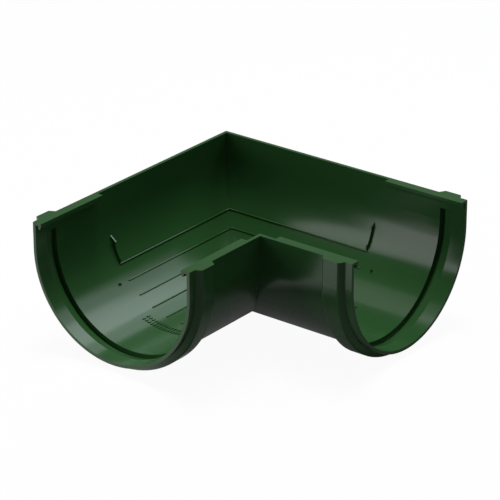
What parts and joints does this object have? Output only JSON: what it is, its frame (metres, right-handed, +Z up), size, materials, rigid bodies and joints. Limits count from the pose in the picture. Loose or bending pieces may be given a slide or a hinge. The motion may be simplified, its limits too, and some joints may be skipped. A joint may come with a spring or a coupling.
{
  "type": "gutter corner",
  "caption": "Outside corner for half-round gutter: two open channels meet at a mitre, each with a ribbed seal housing and clip lips at its mouth.",
  "frame": {"origin": "bottom centre of the box around the part; the two seal housings' lowest points are at height 0", "axes": "+Z up; one arm runs along +X and the other along -Y from the outer corner at -X, +Y; the rims are level"},
  "size_m": [0.1986, 0.1986, 0.0843],
  "materials": {
    "green_pvc": "satin moulded"
  },
  "bodies": {
    "root": {"gutter_corner": "green_pvc"}
  },
  "joints": []
}
